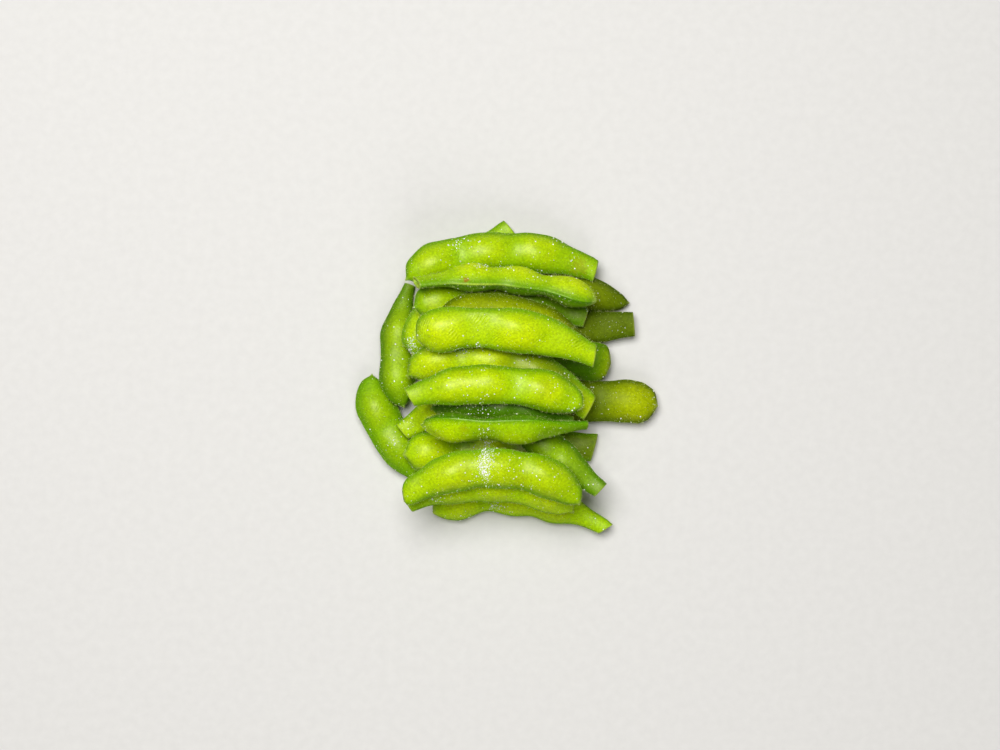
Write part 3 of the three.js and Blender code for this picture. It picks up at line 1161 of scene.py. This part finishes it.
PODS = (
    Pod("pod_right_1", Skin.OLIVE, 1, dull=(0.6,)),
    Pod("pod_right_2", Skin.OLIVE, 2, dull=(0.8, 0.8, 0.4), green=(0.2,), matt=0.1),
    Pod(
        "pod_right_3", Skin.DEEP, 3, warm=(0, 0, 0, 0, 0, 0, 0.7), dull=(0.2, 0.4, 0.7, 0.4, 0.1),
        green=(0, 0, 0, 0, 0.8, 0.9, 0.1), pale=(0.5,), beak=0.1,
    ),
    # Dull and darker from its cut end to past its middle, partly painted shade where it runs in under other
    # pods.
    Pod(
        "pod_right_4", Skin.OLIVE, 4, warm=(0, 0, 0, 0, 0.1, 0.4, 0.4),
        dull=(0.7, 0.7, 0.7, 0.8, 0.45, 0, 0), pale=(0.4,), beak=0.2,
    ),
    Pod("pod_left_1", Skin.BRIGHT, 5, green=(0.5,), rim=3.4),
    Pod(
        "pod_left_2", Skin.DEEP, 6, warm=(0.3, 0.25, 0.15), dull=(0.15, 0.25, 0.15), matt=0.05, rim=3.2,
    ),
    Pod("pod_left_3", Skin.BRIGHT, 7),
    Pod("pod_mid_1", Skin.BRIGHT, 8, warm=(0, 0, 0.1, 0.2), dull=(0.9, 0.6, 0, 0), rim=1.6),
    Pod("pod_front_1", Skin.BRIGHT, 9, warm=(0.1,), rim=0.8, beak=0.1),
    Pod("pod_under", Skin.DEEP, 10),
    # Its yellowing is partly painted light, lightening it where it lies in the shade of the pods above.
    Pod("pod_mid_2", Skin.BRIGHT, 12, warm=(0.3,), rim=1.2),
    Pod("pod_mid_3", Skin.DEEP, 13, dull=(0.3,), matt=0.05),
    Pod("pod_mid_4", Skin.BRIGHT, 14, dull=(0.9, 0.9, 0, 0), green=(0.3, 0.6, 0.5, 0.2)),
    Pod("pod_top_1", Skin.BRIGHT, 15, warm=(0.2, 0.1), green=(0.2,), spots=(Spot(0.09, 253, 3.5, 0.25),)),
    # Painted shade on its lower face.
    Pod(
        "pod_top_2", Skin.BRIGHT, 16, warm=(0.1, 0.15, 0.3), pale=(0, 0.3, 0.8, 0.3, 0, 0, 0),
        shade=(0, 0.8), beak=0.2, spots=(Spot(0.26, 141, 1.4, 0.9),),
    ),
    Pod("pod_top_3", Skin.OLIVE, 17, warm=(0.3,)),
    Pod("pod_top_4", Skin.BRIGHT, 18, warm=(0.6, 0.1, 0.4, 0.4, 0.4), dull=(0, 0.8, 0.6, 0, 0, 0)),
    Pod("pod_top_5", Skin.BRIGHT, 19, warm=(0.35, 0.3), beak=0.1, creased=0.9),
    Pod("pod_top_6", Skin.DEEP, 20, dull=(0.9, 0.8, 0.4), green=(0.9,), pale=(0.4,)),
    Pod(
        "pod_top_7", Skin.BRIGHT, 21, warm=(0.3, 0.15), green=(0.1,), beak=0.3,
        spots=(Spot(0.75, 90, 3.5, 0.12), Spot(0.3, 60, 2.5, 0.1)),
    ),
    # Painted shade on its upper face, in the shadow of the pod above.
    Pod(
        "pod_top_8", Skin.BRIGHT, 22, green=(0.9, 0.5, 0.2, 0.1, 0), pale=(0,), shade=(0.9, 0),
        matt=-0.08, rim=1.0, seam_height=0.1, spots=(Spot(0.72, 304, 1.8, 0.22),),
    ),
    Pod(
        "pod_front_2", Skin.BRIGHT, 23, warm=(0, 0, 0.1, 0.2), green=(0.2, 0.1, 0, 0), rim=0.8, beak=0.5,
    ),
    Pod(
        "pod_front_3", Skin.BRIGHT, 24, warm=(0.35,), green=(0.1, 0.3), beak=0.15, nip=4.0,
        spots=(Spot(0.64, 116, 3.5, 0.16), Spot(0.35, 100, 3.0, 0.12)),
    ),
)

PINCHES = (
    Pinch(-8.0, -28.5, 1.6, 4.6, 1300),
    Pinch(-6.3, -24.9, 2.0, 1.5, 450),
    Pinch(-8.5, -30.0, 5.0, 6.0, 55),
    Pinch(4.5, -29.0, 5.0, 4.0, 35),
    Pinch(-17.5, 43.8, 2.2, 1.8, 240),
    Pinch(-15.5, 46.3, 4.0, 1.0, 120),
    Pinch(-9.7, 37.2, 2.0, 0.9, 380),
    Pinch(-2.0, 36.8, 4.0, 0.8, 170),
    Pinch(-15.3, 8.6, 2.5, 0.9, 420),
    Pinch(-10.3, 10.2, 4.0, 0.8, 170),
    Pinch(-33.0, 10.7, 1.7, 2.4, 700),
    Pinch(6.0, 6.2, 2.5, 1.5, 120),
    Pinch(-24.2, -41.0, 2.0, 1.0, 280),
    Pinch(-19.8, -40.0, 3.0, 0.8, 170),
    Pinch(-4.1, -44.2, 2.0, 1.2, 700),
    Pinch(-0.3, -46.2, 1.2, 0.6, 400),
    Pinch(-39.2, -22.0, 2.0, 2.4, 120),
    Pinch(21.8, -8.3, 2.0, 3.0, 60),
    Pinch(-9.0, -11.0, 5.0, 1.0, 150),
    Pinch(-7.0, -17.6, 2.4, 1.8, 130),
    Pinch(17.8, 45.3, 3.2, 1.2, 180),
    Pinch(22.4, 41.3, 1.5, 2.0, 60),
    Pinch(10.2, 33.7, 4.0, 1.6, 60),
    Pinch(49.8, -8.6, 1.5, 3.0, 50),
    Pinch(36.6, 15.6, 1.6, 1.0, 90),
    Pinch(-3.0, -3.0, 20.0, 5.0, 22),
    Pinch(4.0, -36.0, 4.0, 2.0, 50),
    Pinch(-35.0, -15.5, 2.0, 2.5, 60),
    Pinch(-5.0, -22.6, 3.0, 0.8, 150),
    Pinch(-20.0, -48.0, 8.0, 0.8, 60),
)

SPRINKLE = 6.0  # grains of salt everywhere else, for each square cm
GRAIN = 0.4  # the largest grain's side, in mm
HAIR = 0.75  # the longest hair, in mm
HAIRS = 110.0  # for each square cm, where the skins' "down" is 1


def main() -> None:
    """Builds the pods, the salt, the down and the studio."""
    logging.basicConfig(level=logging.INFO, format="%(message)s")
    for pod in PODS:
        piece = pod.build()
        log.info("%s: %d faces", piece.name, len(piece.data.polygons))
    skins = joined([pod.piece for pod in PODS], PINCHES, SPRINKLE)
    for scatter in (
        Salt("salt_grains", SALT, "salted", density=1.0, seed=5, size=GRAIN, least=0.25, rarity=2.6),
        Down("pod_down", DOWN, "down", density=HAIRS, seed=11, size=HAIR),
    ):
        piece = scatter.build(skins)
        log.info("%s: %d faces", piece.name, len(piece.data.polygons))
    bpy.data.objects.remove(skins)
    Studio().build()


if __name__ == "__main__":
    main()
